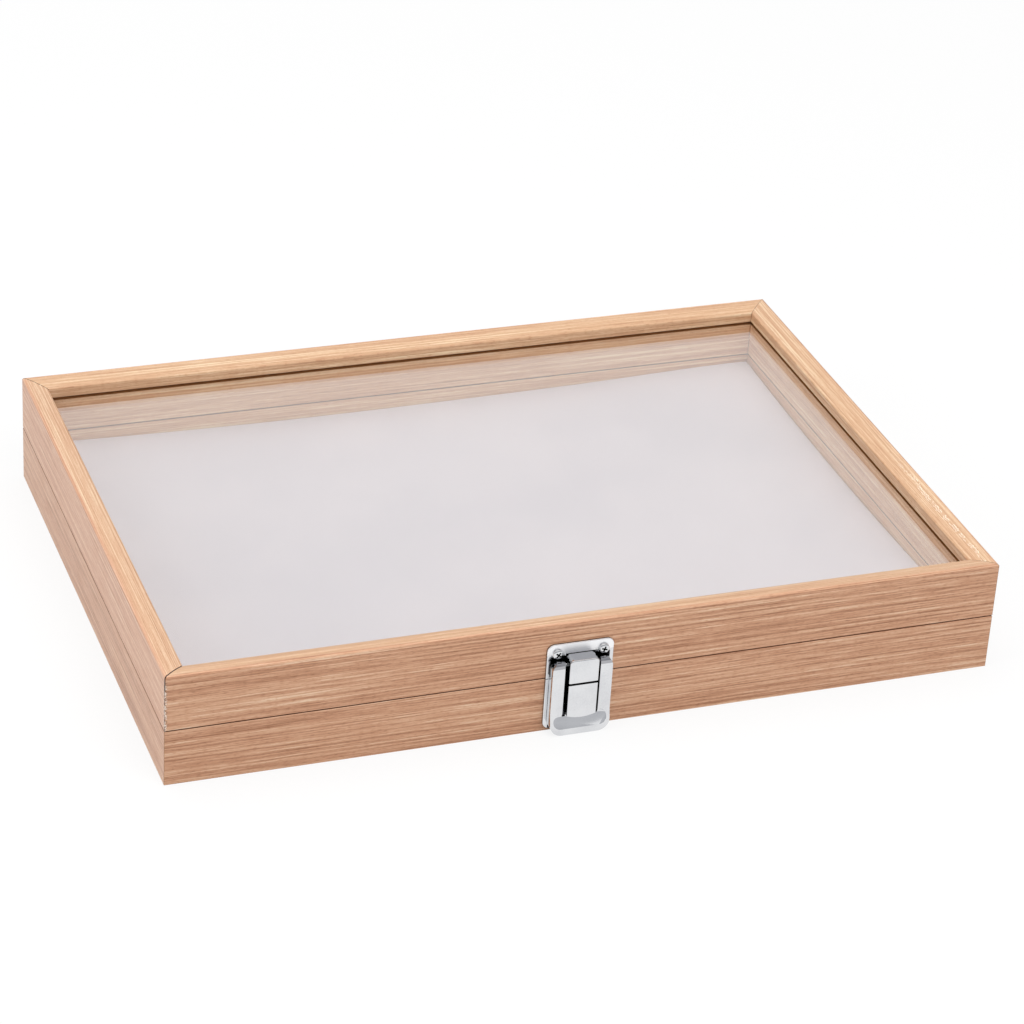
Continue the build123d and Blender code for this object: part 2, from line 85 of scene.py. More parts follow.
class NodeBench:
    """Short calls that add and wire the nodes of one tree."""

    def __init__(self, tree: bpy.types.NodeTree) -> None:
        """Clears a shader, world or geometry tree and keeps it."""
        self.tree = tree
        tree.nodes.clear()

    def place(self) -> Socket:
        """Place on the object."""
        return self.node("ShaderNodeTexCoord").outputs["Object"]

    def split(self, vector: Any) -> bpy.types.bpy_prop_collection:
        """The three parts of a vector."""
        return self.node("ShaderNodeSeparateXYZ", {0: vector}).outputs

    def relief(self, strength: float, distance: float, height: Any) -> Socket:
        """Normal of a surface that follows a height."""
        return self.node("ShaderNodeBump", {"Strength": strength, "Distance": distance,
                                            "Height": height}).outputs[0]

    def principled(self, inputs: Mapping[str, Any]) -> Socket:
        """Shader with the given inputs."""
        return self.node("ShaderNodeBsdfPrincipled", inputs).outputs[0]

    def moved(self, shape: Any, inputs: Mapping[str, Any]) -> Socket:
        """Geometry whose points are set to a position or moved by an offset."""
        return self.node("GeometryNodeSetPosition", {"Geometry": shape, **inputs}).outputs[0]

    def node(self, kind: str, inputs: Mapping[Any, Any] | None = None,
             **settings: Any) -> bpy.types.Node:
        """Adds a node.

        Args:
            kind: The node's type name.
            inputs: What each input holds, by name or number: a value or a socket.
            settings: Properties of the node.

        Returns:
            The new node.
        """
        made = self.tree.nodes.new(kind)
        for key, value in settings.items():
            setattr(made, key, value)
        for key, value in (inputs or {}).items():
            self.feed(made.inputs[key], value)
        return made

    def feed(self, socket: Socket, value: Any) -> None:
        """Links a socket to the input, or sets the input's own value."""
        if isinstance(value, Socket):
            self.tree.links.new(value, socket)
        else:
            socket.default_value = value

    def maths(self, operation: str, *values: Any) -> Socket:
        """Result of a Math node on one to three values or sockets."""
        return self.node("ShaderNodeMath", dict(enumerate(values)), operation=operation).outputs[0]

    plus = partialmethod(maths, "ADD")
    minus = partialmethod(maths, "SUBTRACT")
    times = partialmethod(maths, "MULTIPLY")
    times_plus = partialmethod(maths, "MULTIPLY_ADD")
    magnitude = partialmethod(maths, "ABSOLUTE")
    above = partialmethod(maths, "GREATER_THAN")
    below = partialmethod(maths, "LESS_THAN")
    larger = partialmethod(maths, "MAXIMUM")
    smaller = partialmethod(maths, "MINIMUM")

    def band(self, value: Any, low: float, high: float, to_low: float = 0.0,
             to_high: float = 1.0) -> Socket:
        """Smooth step of a value between two places, from one result to another."""
        made = self.node("ShaderNodeMapRange",
                         {"Value": value, "From Min": low, "From Max": high,
                          "To Min": to_low, "To Max": to_high},
                         interpolation_type="SMOOTHSTEP")
        return made.outputs["Result"]

    def noise(self, vector: Any, scale: float = 1.0, detail: float = 2.0,
              roughness: float = 0.5, dimensions: str = "3D") -> Socket:
        """Value of a noise texture, 0 to 1."""
        made = self.node("ShaderNodeTexNoise",
                         {"Vector": vector, "Scale": scale, "Detail": detail,
                          "Roughness": roughness}, noise_dimensions=dimensions)
        return made.outputs["Fac"]

    def point(self, x: Any = 0.0, y: Any = 0.0, z: Any = 0.0) -> Socket:
        """Vector made of three values or sockets."""
        return self.node("ShaderNodeCombineXYZ", {0: x, 1: y, 2: z}).outputs[0]

    def blend(self, share: Any, first: Any, second: Any,
              mode: str = "MIX") -> Socket:
        """Blend of two colours, by the share of the second.

        Args:
            share: How much of the second, 0 to 1.
            first: The colour to start from.
            second: The colour blended in.
            mode: How the two are mixed.

        Returns:
            The blended colour.
        """
        made = self.node("ShaderNodeMix", data_type="RGBA", blend_type=mode)
        self.feed(made.inputs[0], share)
        self.feed(made.inputs[6], first)
        self.feed(made.inputs[7], second)
        return made.outputs[2]

    def ramp(self, value: Any, stops: Iterable[tuple[float, Any]]) -> Socket:
        """Colour ramp with its places and their colours, in order.

        Args:
            value: What picks the place on the ramp, 0 to 1.
            stops: Each stop's place and colour.

        Returns:
            The ramp's colour.
        """
        made = self.node("ShaderNodeValToRGB", {"Fac": value})
        elements = made.color_ramp.elements
        chosen = list(stops)
        while len(elements) < len(chosen):
            elements.new(1.0)
        for element, (place, colour) in zip(elements, chosen):
            element.position = place
            element.color = colour
        return made.outputs["Color"]


class Finish(ABC):
    """A surface finish, made once as one material."""

    name: str

    @abstractmethod
    def surface(self, bench: NodeBench) -> Socket:
        """Lays out the nodes and gives the shader."""

    def material(self) -> bpy.types.Material:
        """The material, made at the first call.

        Returns:
            The finish's material.
        """
        found = bpy.data.materials.get(self.name)
        if found is not None:
            return found
        made = bpy.data.materials.new(self.name)
        made.use_nodes = True
        bench = NodeBench(made.node_tree)
        bench.node("ShaderNodeOutputMaterial", {"Surface": self.surface(bench)})
        return made


class Grain(Enum):
    """Which way a rail's grain runs."""

    ALONG_FRONT = "x"
    ALONG_SIDE = "y"


@dataclass(frozen=True)
class Streaks:
    """One layer of the print: noise drawn out along the rail."""

    along: float            # scale along the rail, per metre
    around: float           # scale round the moulding, per metre
    detail: float = 0.0
    roughness: float = 0.5
    share: float = 1.0      # weight in the print's tone


FIBRE = Streaks(70.0, 1900.0, 2.0, 0.65, share=0.9)
TONE_LAYERS = (Streaks(1.5, 150.0, 1.0, share=0.12), Streaks(4.5, 700.0, share=0.55),
               Streaks(9.0, 1150.0, share=0.5), Streaks(16.0, 1500.0, share=0.55))
TONE_OFFSET = 0.785         # brings the sum of the layers back to about a half
DARK_LINES = Streaks(2.0, 420.0, 2.0, share=-0.22)
DARK_LINE_HALF_WIDTH = 0.05
FADING = Streaks(9.0, 160.0, 1.0)
PALE_LINES = Streaks(1.8, 330.0, 2.0, share=0.15)
PALE_LINE_HALF_WIDTH = 0.035
PORES = Streaks(400.0, 2900.0, 1.0, share=-0.2)

# Painted light: how much paler the print is painted on the lit top of each rail.
TOP_PAINTED_LIGHT = {"front": 0.08, "right": 0.14, "back": 0.14, "left": 0.17}
# Painted sheen: the left sides are painted with less contrast, and the lid's left side paler.
LEFT_SIDE_PAINTED_SHEEN = {"lid": {"side_contrast": 0.6, "side_lift": 0.1},
             "base": {"side_contrast": 0.6, "side_lift": 0.01}}

BARE_STRIP = 0.09 * MM      # width of the bare board beside a sound mitre
TORN_STRIP = 0.26 * MM      # and beside the torn one
TORN_WIDTH = (0.16 * MM, 1.0 * MM)          # least and greatest width of the torn flakes
FLAKES_BEGIN = (47.4 * MM, 46.2 * MM)       # heights between which the flakes set in
FLAKES_FILL_JOINT = (43.2 * MM, 41.6 * MM)  # and between which they close the dark joint


@dataclass(frozen=True)
class OakFoil(Finish):
    """Printed light-oak foil round a moulding, as one flat print that follows its outline."""

    name: str
    grain: Grain
    print_shift: float                 # where on the print this rail begins
    half_gap: tuple[float, float]      # half the open joint at the low and the high end
    half_width: float                  # middle of the case to the outer face of this rail
    half_length: float                 # middle of the case to this rail's ends
    rail_width: float = 9.5 * MM
    torn_joint: bool = False           # the low end's joint stands open and its foil is torn
    wavy_line: bool = False            # a pale wavy line runs along the top
    top_contrast: float = 0.68         # contrast of the print on the lit top, against the sides
    top_painted_light: float = 0.05             # painted light: how much paler the print is painted on the lit top
    top_fineness: float = 2.0          # how much closer its lines lie there
    side_contrast: float = 0.85        # contrast of the print on the sides
    side_lift: float = -0.04           # painted light and shade on the sides: how much paler the print is painted there, darker below zero
    # painted light: tint multiplied into the print on the lit top
    top_painted_tint: Any = srgb(250, 255, 249)
    tint: Any = None                   # colour multiplied into the print; on the lid's left side it is a painted pale sheen
    groove: tuple[float, float] | None = None      # heights between which the glass sits
    seam: float | None = None          # height of the sawn edge at the seam
    seam_painted_highlight: Any = None               # painted highlight: pale line along the seam on the inner face
    dark: Any = srgb(160, 110, 78)
    middle: Any = srgb(202, 150, 117)
    light: Any = srgb(220, 175, 142)
    pale: Any = srgb(240, 210, 180)
    board: Any = srgb(104, 70, 46)
    chipped: Any = srgb(244, 228, 214)
    splinter: Any = srgb(150, 112, 92)
    growth_line: Any = srgb(252, 240, 222)
    groove_board: Any = srgb(150, 98, 58)
    seam_board: Any = srgb(98, 56, 30)

    def surface(self, bench: NodeBench) -> Socket:
        """Lays out the print with painted light on its top and sides, its relief and its satin
        gloss.

        Args:
            bench: The material's nodes.

        Returns:
            The finished shader.
        """
        x, y, z = bench.split(bench.place())
        along, across = (x, y) if self.grain is Grain.ALONG_FRONT else (y, x)
        inward = bench.minus(self.half_width, bench.magnitude(across))
        around = bench.times_plus(inward, self.top_fineness, z)
        tone, fibre = self.printed_grain(bench, along, around)
        # Painted light and shade: the top and the sides get their own painted paleness, contrast
        # and tint.
        on_top = bench.band(inward, 0.6 * MM, 1.6 * MM)
        contrast = bench.times_plus(on_top, self.top_contrast - self.side_contrast,
                                    self.side_contrast)
        painted_level = bench.times_plus(on_top, self.top_painted_light - self.side_lift, 0.5 + self.side_lift)
        tone = bench.times_plus(bench.minus(tone, 0.5), contrast, painted_level)
        colour = bench.ramp(tone, [(0.05, self.dark), (0.42, self.middle), (0.68, self.light),
                                   (0.95, self.pale)])
        colour = bench.blend(on_top, colour, self.top_painted_tint, "MULTIPLY")
        if self.tint is not None:
            colour = bench.blend(1.0, colour, self.tint, "MULTIPLY")
        if self.wavy_line:
            colour = self.with_wavy_line(bench, colour, along, inward)
        colour = self.with_bare_board(bench, colour, inward, z)
        colour = self.with_joints(bench, colour, along, inward, z)
        return bench.principled({"Base Color": colour, "IOR": 1.5,
                                 "Roughness": bench.band(fibre, 0.3, 0.7, 0.42, 0.34),
                                 "Normal": bench.relief(0.25, 0.08 * MM, fibre)})

    def printed_grain(self, bench: NodeBench, along: Socket,
                      around: Socket) -> tuple[Socket, ...]:
        """Straight grain of the print.

        Args:
            bench: The material's nodes.
            along: Place along the rail.
            around: Place round the moulding's outline.

        Returns:
            The tone, 0 to 1, and the fine fibre that the relief follows.
        """
        start = bench.plus(along, self.print_shift)
        drift = bench.noise(bench.point(start, self.print_shift), 3.0, 2.0, 0.5, "2D")
        side = bench.times_plus(drift, 1.6 * MM, around)
        side = bench.plus(side, 0.37 * self.print_shift)

        def layer(streaks: Streaks) -> Socket:
            """Noise drawn out along the rail."""
            spot = bench.point(bench.times(start, streaks.along),
                               bench.times(side, streaks.around))
            return bench.noise(spot, 1.0, streaks.detail, streaks.roughness, "2D")

        def lines(streaks: Streaks, half_width: float) -> Socket:
            """Thin lines where a drawn-out noise crosses its middle value."""
            spread = bench.magnitude(bench.minus(layer(streaks), 0.5))
            return bench.band(spread, 0.2 * half_width, half_width, 1.0, 0.0)

        fibre = layer(FIBRE)
        tone: Any = 0.0
        for streaks in TONE_LAYERS:
            tone = bench.times_plus(layer(streaks), streaks.share, tone)
        tone = bench.times_plus(fibre, FIBRE.share, tone)
        tone = bench.minus(tone, TONE_OFFSET)
        fading = bench.band(layer(FADING), 0.35, 0.65)
        dark_lines = bench.times(lines(DARK_LINES, DARK_LINE_HALF_WIDTH), fading)
        tone = bench.times_plus(dark_lines, DARK_LINES.share, tone)
        tone = bench.times_plus(lines(PALE_LINES, PALE_LINE_HALF_WIDTH), PALE_LINES.share, tone)
        pores = bench.band(layer(PORES), 0.54, 0.7)
        return bench.times_plus(pores, PORES.share, tone), fibre

    def with_bare_board(self, bench: NodeBench, colour: Socket, inward: Socket,
                        height: Socket) -> Socket:
        """Shows the board where no foil covers it: in the glass groove and along the seam.

        Args:
            bench: The material's nodes.
            colour: The printed colour.
            inward: Distance in from the outer face.
            height: Height above the table.

        Returns:
            The colour with its bare places.
        """
        inside = bench.above(inward, 4.0 * MM)
        if self.groove is not None:
            low, high = self.groove
            cut = bench.times(bench.above(height, low - 0.03 * MM),
                              bench.below(height, high + 0.03 * MM))
            colour = bench.blend(bench.times(cut, inside), colour, self.groove_board)
        if self.seam is not None:
            off = bench.magnitude(bench.minus(height, self.seam))
            edge = bench.band(off, 0.08 * MM, 0.22 * MM, 1.0, 0.0)
            colour = bench.blend(edge, colour, self.seam_board)
            # Painted highlight: a pale line along the seam, on the inner face only.
            if self.seam_painted_highlight is not None:
                lip = bench.band(off, 0.1 * MM, 0.6 * MM, 1.0, 0.0)
                face = bench.above(inward, self.rail_width - 0.02 * MM)
                colour = bench.blend(bench.times(lip, face), colour, self.seam_painted_highlight)
        return colour

    def with_wavy_line(self, bench: NodeBench, colour: Socket, along: Socket,
                       inward: Socket) -> Socket:
        """Adds the pale wavy growth line that the print has near this rail's front end.

        Args:
            bench: The material's nodes.
            colour: The print's colour.
            along: Place along the rail.
            inward: Place across the rail.

        Returns:
            The colour with the line in it.
        """
        spot = bench.point(along, self.print_shift)
        wave = bench.noise(spot, 55.0, 3.0, 0.6, "2D")
        jags = bench.noise(spot, 520.0, 3.0, 0.75, "2D")
        middle = bench.times_plus(wave, 3.2 * MM, 2.6 * MM)
        middle = bench.times_plus(jags, 2.4 * MM, middle)
        run = bench.band(along, -20 * MM, -60 * MM)
        for offset, strength in ((-1.4 * MM, 0.85), (-0.5 * MM, 0.6)):
            off = bench.magnitude(bench.minus(inward, bench.plus(middle, offset)))
            line = bench.band(off, 0.08 * MM, 0.3 * MM, 1.0, 0.0)
            breaks = bench.noise(bench.point(along, offset), 330.0, 1.0, 0.5, "2D")
            share = bench.times(bench.times(line, run), bench.band(breaks, 0.36, 0.55))
            colour = bench.blend(bench.times(share, strength), colour, self.growth_line)
        return colour

    def with_joints(self, bench: NodeBench, colour: Socket, along: Socket, inward: Socket,
                    height: Socket) -> Socket:
        """Shows the sawn board where the foil ends at the mitres.

        Args:
            bench: The material's nodes.
            colour: The printed colour.
            along: Place along the rail.
            inward: Distance in from the outer face.
            height: Height above the table.

        Returns:
            The colour with its sawn ends.
        """
        from_end = bench.minus(self.half_length, bench.magnitude(along))
        off = bench.times(bench.magnitude(bench.minus(from_end, inward)), math.sqrt(0.5))
        high_end = bench.above(along, 0.0)
        gap = bench.times_plus(high_end, self.half_gap[1] - self.half_gap[0], self.half_gap[0])
        bare: Any = self.board
        strip: Any = BARE_STRIP
        if self.torn_joint:
            low_end = bench.minus(1.0, high_end)
            torn = bench.noise(bench.point(height, 0.0), 1500.0, 2.0, 0.6, "2D")
            patch = bench.noise(bench.point(height, along), 900.0, 1.0, 0.5, "2D")
            flakes = bench.blend(bench.band(patch, 0.45, 0.55), self.chipped, self.splinter)
            below = bench.times(bench.band(height, *FLAKES_FILL_JOINT), low_end)
            bare = bench.blend(below, self.board, flakes)
            strip = bench.times_plus(low_end, TORN_STRIP - BARE_STRIP, BARE_STRIP)
            width = bench.band(torn, 0.36, 0.62, *TORN_WIDTH)
            past = bench.minus(bench.plus(from_end, inward), width)
            chips = bench.band(past, -0.05 * MM, 0.05 * MM, 1.0, 0.0)
            chips = bench.times(chips, bench.band(height, *FLAKES_BEGIN))
            chips = bench.times(bench.times(chips, low_end), 0.85)
            colour = bench.blend(chips, colour, flakes)
        cut = bench.band(bench.minus(off, gap), bench.times(strip, 0.5), strip, 1.0, 0.0)
        return bench.blend(cut, colour, bare)


@dataclass(frozen=True)
class FlockedCloth(Finish):
    """Pale grey flocked cloth with a soft nap."""

    name: str = "flocked_cloth"
    colour: Any = srgb(214, 206, 210)
    shade: Any = srgb(206, 199, 204)

    def surface(self, bench: NodeBench) -> Socket:
        """Lays out the nap, its faint clouds and its sheen.

        Args:
            bench: The material's nodes.

        Returns:
            The finished shader.
        """
        place = bench.place()
        clouds = bench.noise(place, 14.0, 3.0, 0.55)
        nap = bench.noise(place, 2600.0, 3.0, 0.7)
        colour = bench.blend(bench.band(clouds, 0.3, 0.7), self.shade, self.colour)
        colour = bench.blend(bench.band(nap, 0.25, 0.8, 0.0, 0.22), colour, srgb(188, 184, 186))
        return bench.principled({"Base Color": colour, "Roughness": 0.95,
                                 "Specular IOR Level": 0.2, "Sheen Weight": 0.12,
                                 "Sheen Roughness": 0.6,
                                 "Normal": bench.relief(0.5, 0.15 * MM, nap)})


@dataclass(frozen=True)
class ClearPane(Finish):
    """Clear float glass with faint wiping marks, which lets lamp light through."""

    name: str = "clear_pane"
    refraction: float = 1.52

    def surface(self, bench: NodeBench) -> Socket:
        """Lays out the glass and its way through for lamps.

        Args:
            bench: The material's nodes.

        Returns:
            The finished shader.
        """
        place = bench.place()
        marks = bench.noise(place, 38.0, 4.0, 0.6)
        tint = bench.blend(marks, srgb(252, 249, 251), srgb(254, 251, 252))
        haze = bench.band(marks, 0.35, 0.8, 0.0, 0.012)
        glass = bench.principled({"Base Color": tint, "Roughness": haze,
                                  "IOR": self.refraction, "Transmission Weight": 1.0,
                                  "Coat Weight": 1.0, "Coat Roughness": 0.0, "Coat IOR": 1.5})
        opening = bench.node("ShaderNodeBsdfTransparent", {"Color": srgb(246, 248, 247)})
        rays = bench.node("ShaderNodeLightPath").outputs
        passing = bench.larger(rays["Is Shadow Ray"], rays["Is Diffuse Ray"])
        mixed = bench.node("ShaderNodeMixShader", {0: passing, 1: glass,
                                                   2: opening.outputs[0]})
        return mixed.outputs[0]


@dataclass(frozen=True)
class Plating(Finish):
    """Bright plated metal with a trace of handling on it, and places where shade and reflection
    are painted into its colour.
    """

    name: str
    colour: Any
    dull_colour: Any
    gloss: tuple[float, float]     # roughness of the clean and of the handled places
    ripple: float = 0.01           # strength of the pressed sheet's unevenness
    middle: float = 0.0            # X of the piece's middle
    painted_dark: Places = ()           # places painted dark: painted shade and dark reflection between close sheets
    shade: Any = srgb(20, 20, 22)
    rolled: Places = ()            # places painted greyer as a painted reflection, such as the flap's sloping heels
    painted_grey: Any = srgb(172, 172, 176)
    satin: Places = ()             # places with a duller gloss
    satin_gloss: float = 0.38
    satin_colour: Any = srgb(250, 250, 252)

    def surface(self, bench: NodeBench) -> Socket:
        """Lays out the plating, its handling marks and the sheet's unevenness.

        Args:
            bench: The material's nodes.

        Returns:
            The finished shader.
        """
        place = bench.place()
        marks = bench.noise(place, 2200.0, 3.0, 0.6)
        clouds = bench.noise(place, 90.0, 2.0, 0.5)
        uneven = bench.noise(place, 160.0, 1.0, 0.4)
        worn = bench.times_plus(marks, 0.35, bench.times(clouds, 0.65))
        colour = bench.blend(bench.band(worn, 0.4, 0.7), self.colour, self.dull_colour)
        gloss = bench.band(worn, 0.4, 0.75, *self.gloss)
        dull = self.within(bench, place, self.satin)
        gloss = bench.larger(gloss, bench.times(dull, self.satin_gloss))
        colour = bench.blend(dull, colour, self.satin_colour)
        # Painted reflection: the rolled places are painted greyer.
        colour = bench.blend(self.within(bench, place, self.rolled), colour, self.painted_grey)
        # Painted shade: the places given as dark are painted in the shade colour.
        colour = bench.blend(self.within(bench, place, self.painted_dark), colour, self.shade)
        return bench.principled({"Base Color": colour, "Metallic": 1.0, "Roughness": gloss,
                                 "Normal": bench.relief(self.ripple, 1.0 * MM, uneven)})

    def within(self, bench: NodeBench, place: Socket, boxes: Places) -> Any:
        """1 inside any of the given places, such as slots, backs and what other pieces cover.

        Args:
            bench: The material's nodes.
            place: Place on the object.
            boxes: The places, as the fields give them.

        Returns:
            The share's socket, 0 to 1, or 0 where there are no places.
        """
        x, y, z = bench.split(place)
        off = bench.magnitude(bench.minus(x, self.middle))
        share: Any = 0.0
        for near, far, front, low, high in boxes:
            across = bench.times(bench.above(off, near), bench.below(off, far))
            upright = bench.times(bench.above(z, low), bench.below(z, high))
            within = bench.times(bench.times(across, upright), bench.above(y, front))
            share = bench.larger(share, within)
        return share


@dataclass(frozen=True)
class FibreBoard(Finish):
    """Pressed fibre board or card with short crossing fibres."""

    name: str
    colour: Any
    fleck: Any
    scale: float = 700.0

    def surface(self, bench: NodeBench) -> Socket:
        """Lays out the board's fibres and flecks.

        Args:
            bench: The material's nodes.

        Returns:
            The finished shader.
        """
        place = bench.place()
        stretched = bench.node("ShaderNodeMapping", {"Vector": place, "Scale": (0.25, 1.0, 1.0)})
        fibres = bench.noise(stretched.outputs[0], self.scale, 4.0, 0.7)
        crossed = bench.noise(place, self.scale * 0.6, 3.0, 0.6)
        mixed = bench.times_plus(crossed, 0.5, bench.times(fibres, 0.5))
        colour = bench.ramp(mixed, [(0.36, self.fleck), (0.5, self.colour), (1.0, self.colour)])
        return bench.principled({"Base Color": colour, "Roughness": 0.7,
                                 "Normal": bench.relief(0.3, 0.1 * MM, mixed)})


CHROME = Plating("bright_chrome", srgb(224, 225, 227), srgb(212, 213, 216), (0.05, 0.1))
RECESS = Plating("recess_shadow", srgb(34, 32, 32), srgb(22, 21, 21), (0.4, 0.5))
NICKEL = Plating("hinge_nickel", srgb(205, 202, 194), srgb(176, 172, 162), (0.2, 0.38), 0.03)
NAIL_STEEL = Plating("nail_steel", srgb(128, 128, 130), srgb(96, 94, 92), (0.35, 0.55), 0.05)
HARDBOARD = FibreBoard("bottom_hardboard", srgb(158, 116, 76), srgb(112, 78, 50))
GREY_CARD = FibreBoard("pad_grey_card", srgb(178, 176, 170), srgb(140, 138, 134), 1100.0)


class SubAssembly:
    """A sub-assembly that builds its own pieces and dresses them, or leaves out either step."""

    def build(self) -> None:
        """Makes the meshes of this sub-assembly; without it they stay as they were packed."""

    def dress(self) -> None:
        """Gives every piece its finish; without it they were finished as they were made."""


def dress_node(node: str, finish: Finish) -> None:
    """Gives a carried-over node one finish.

    Args:
        node: The node's name.
        finish: The finish for all of it.
    """
    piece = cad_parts[node]
    piece.data.materials.clear()
    piece.data.materials.append(finish.material())
    LOG.info("dressed %s in %s", node, finish.name)


@dataclass
class MouldedFrame(SubAssembly):
    """Four mitred, foil-wrapped rails: the tray's or the lid's."""

    body: str                                       # the body and the start of its nodes' names
    mitre_gaps: Mapping[str, float]                 # joint width by corner
    print_start: float                              # where on the print the first rail begins
    glass_play: float = 0.6 * MM
    sides: tuple[str, ...] = ("front", "right", "back", "left")

    def build(self) -> None:
        """Reads the case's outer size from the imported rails."""
        low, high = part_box(f"{self.body}_front_rail")
        self.half_width = (high.x - low.x) / 2
        low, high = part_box(f"{self.body}_left_rail")
        self.half_depth = (high.y - low.y) / 2
        self.lower_edge, self.upper_edge = low.z, high.z
        low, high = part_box("lid_glass")
        self.groove = (low.z, high.z + self.glass_play)

    def sawn_edge(self, side: str) -> Any:
        """Colour of a rail's sawn mitre where the foil ends."""
        if self.body == "base":
            return srgb(176, 134, 98)
        return srgb(140, 98, 68) if side == "right" else srgb(52, 24, 8)

    def rail_foil(self, number: int, side: str) -> OakFoil:
        """The print of one rail.

        Args:
            number: Place of the side in the order of sides.
            side: Name of the side.

        Returns:
            The foil with this rail's joints and its own stretch of the print.
        """
        runs_along_front = side in ("front", "back")
        low, high = (f"{side}_left", f"{side}_right") if runs_along_front else (
            f"front_{side}", f"back_{side}")
        gaps = self.mitre_gaps
        case = (self.half_depth, self.half_width) if runs_along_front else (
            self.half_width, self.half_depth)
        on_lid = self.body == "lid"
        seam = {"lid": self.lower_edge, "base": self.upper_edge}[self.body]
        # Painted sheen: a pale pink tint multiplied into the lid's left side.
        tint = srgb(255, 251, 252) if side == "left" and on_lid else None
        return OakFoil(
            name=f"oak_foil_{self.body}_{side}",
            grain=Grain.ALONG_FRONT if runs_along_front else Grain.ALONG_SIDE,
            print_shift=self.print_start + 0.83 * number,
            half_gap=(gaps[low] / 2, gaps[high] / 2),
            half_width=case[0], half_length=case[1],
            torn_joint=on_lid and side in ("front", "left"),
            board=self.sawn_edge(side),
            tint=tint, seam=seam, groove=self.groove if on_lid else None,
            seam_painted_highlight=None if on_lid else srgb(252, 238, 226),
            wavy_line=on_lid and side == "right",
            top_painted_light=TOP_PAINTED_LIGHT[side],
            **(LEFT_SIDE_PAINTED_SHEEN[self.body] if side == "left" else {}),
        )

    def dress(self) -> None:
        """Wraps each rail in its own stretch of the print."""
        for number, side in enumerate(self.sides):
            dress_node(f"{self.body}_{side}_rail", self.rail_foil(number, side))
        dress_node(f"{self.body}_corner_nails", NAIL_STEEL)


